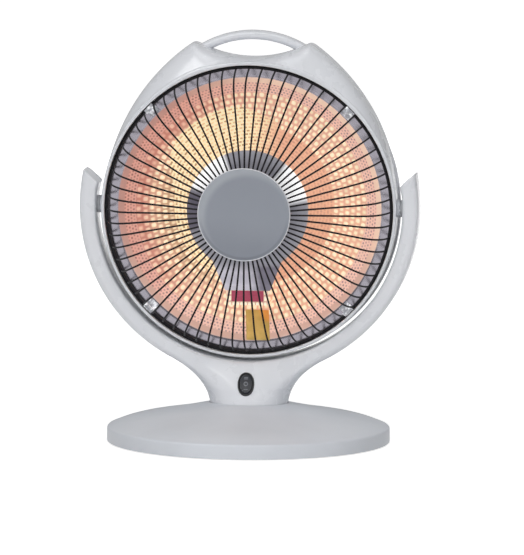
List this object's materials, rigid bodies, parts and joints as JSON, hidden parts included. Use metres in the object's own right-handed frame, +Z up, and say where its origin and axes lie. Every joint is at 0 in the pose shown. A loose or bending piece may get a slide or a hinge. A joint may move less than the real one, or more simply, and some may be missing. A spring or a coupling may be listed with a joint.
{
  "type": "parabolic heater",
  "caption": "Table-top parabolic heater: a ring lamp before a bowl reflector, behind a round wire grille, in a head that tilts in a forked yoke on a weighted disc base",
  "frame": {"origin": "on the floor under the middle of the base, with the head at its pictured tilt", "axes": "+Z up, the grille faces -Y, +X to the right of someone who looks at the grille"},
  "size_m": [0.3534, 0.294, 0.4262],
  "materials": {
    "white_plastic": "smooth moulded, glossy, cool white",
    "black_plastic": "smooth moulded, satin",
    "black_enamel": "glossy black enamel on steel wire",
    "black_rubber": "matte",
    "grey_paint": "blue-grey, semi-gloss, on pressed steel",
    "zinc_steel": "zinc plated",
    "cast_iron": "as cast",
    "polished_aluminium": "bright, hammered in small facets",
    "quartz_glass": "clear, glowing warm in use",
    "filament_metal": "wound resistance wire, glowing in use",
    "ceramic": "unglazed ceramic",
    "satin_steel": "pressed sheet, satin",
    "red_fibre": "red fibre board",
    "clear_nylon": "translucent"
  },
  "bodies": {
    "stand": {"base_cover": "white_plastic", "base_plate": "black_plastic", "ballast_ring": "cast_iron", "rubber_foot_1": "black_rubber", "rubber_foot_2": "black_rubber", "rubber_foot_3": "black_rubber", "rubber_foot_4": "black_rubber", "base_screw_1": "zinc_steel", "base_screw_2": "zinc_steel", "base_screw_3": "zinc_steel", "cord_gland": "black_rubber", "tip_switch_housing": "black_plastic", "tip_spring": "zinc_steel", "tip_microswitch": "red_fibre", "yoke_front_shell": "white_plastic", "yoke_rear_shell": "white_plastic", "yoke_screw_1": "zinc_steel", "yoke_screw_2": "zinc_steel", "yoke_screw_3": "zinc_steel", "yoke_screw_4": "zinc_steel", "neck_clamp_ring": "zinc_steel", "neck_screw_1": "zinc_steel", "neck_screw_2": "zinc_steel", "neck_screw_3": "zinc_steel", "switch_bezel": "black_plastic", "switch_terminals": "zinc_steel"},
    "head": {"head_front_shell": "white_plastic", "head_rear_shell": "white_plastic", "carry_handle": "white_plastic", "head_screw_1": "zinc_steel", "head_screw_2": "zinc_steel", "head_screw_3": "zinc_steel", "head_screw_4": "zinc_steel", "friction_washer_right": "black_rubber", "pivot_bolt_right": "zinc_steel", "pivot_nut_right": "zinc_steel", "friction_washer_left": "black_rubber", "pivot_bolt_left": "zinc_steel", "pivot_nut_left": "zinc_steel", "reflector_dish": "polished_aluminium", "quartz_lamp_tube": "quartz_glass", "lamp_filament": "filament_metal", "lamp_cap_right": "ceramic", "lamp_cap_left": "ceramic", "lamp_bracket": "zinc_steel", "lamp_shield": "satin_steel", "shield_post": "zinc_steel", "shield_post_nut": "zinc_steel", "insulating_strip": "red_fibre", "grille": "black_enamel", "hub_plate": "grey_paint", "hub_backing": "grey_paint", "grille_clip_1": "clear_nylon", "grille_clip_2": "clear_nylon", "grille_clip_3": "clear_nylon", "grille_clip_4": "clear_nylon", "thermal_cutout": "zinc_steel", "terminal_block": "ceramic"},
    "rocker": {"switch_rocker": "black_plastic"},
    "plunger": {"tip_plunger": "white_plastic"}
  },
  "joints": [
    {"name": "head_tilt", "type": "hinge", "parent": "stand", "child": "head", "pos_m": [0, 0.006, 0.245], "axis": [-1, 0, 0], "range_deg": [-10, 30]},
    {"name": "rocker_tilt", "type": "hinge", "parent": "stand", "child": "rocker", "pos_m": [0, -0.02514, 0.06212], "axis": [1, 0, 0], "range_deg": [-9, 9]},
    {"name": "plunger_slide", "type": "slide", "parent": "stand", "child": "plunger", "axis": [0, 0, -1], "range_m": [0, 0.004], "stiffness_N_per_m": 120, "springref_m": 0.005, "deforming": ["tip_spring"]}
  ]
}
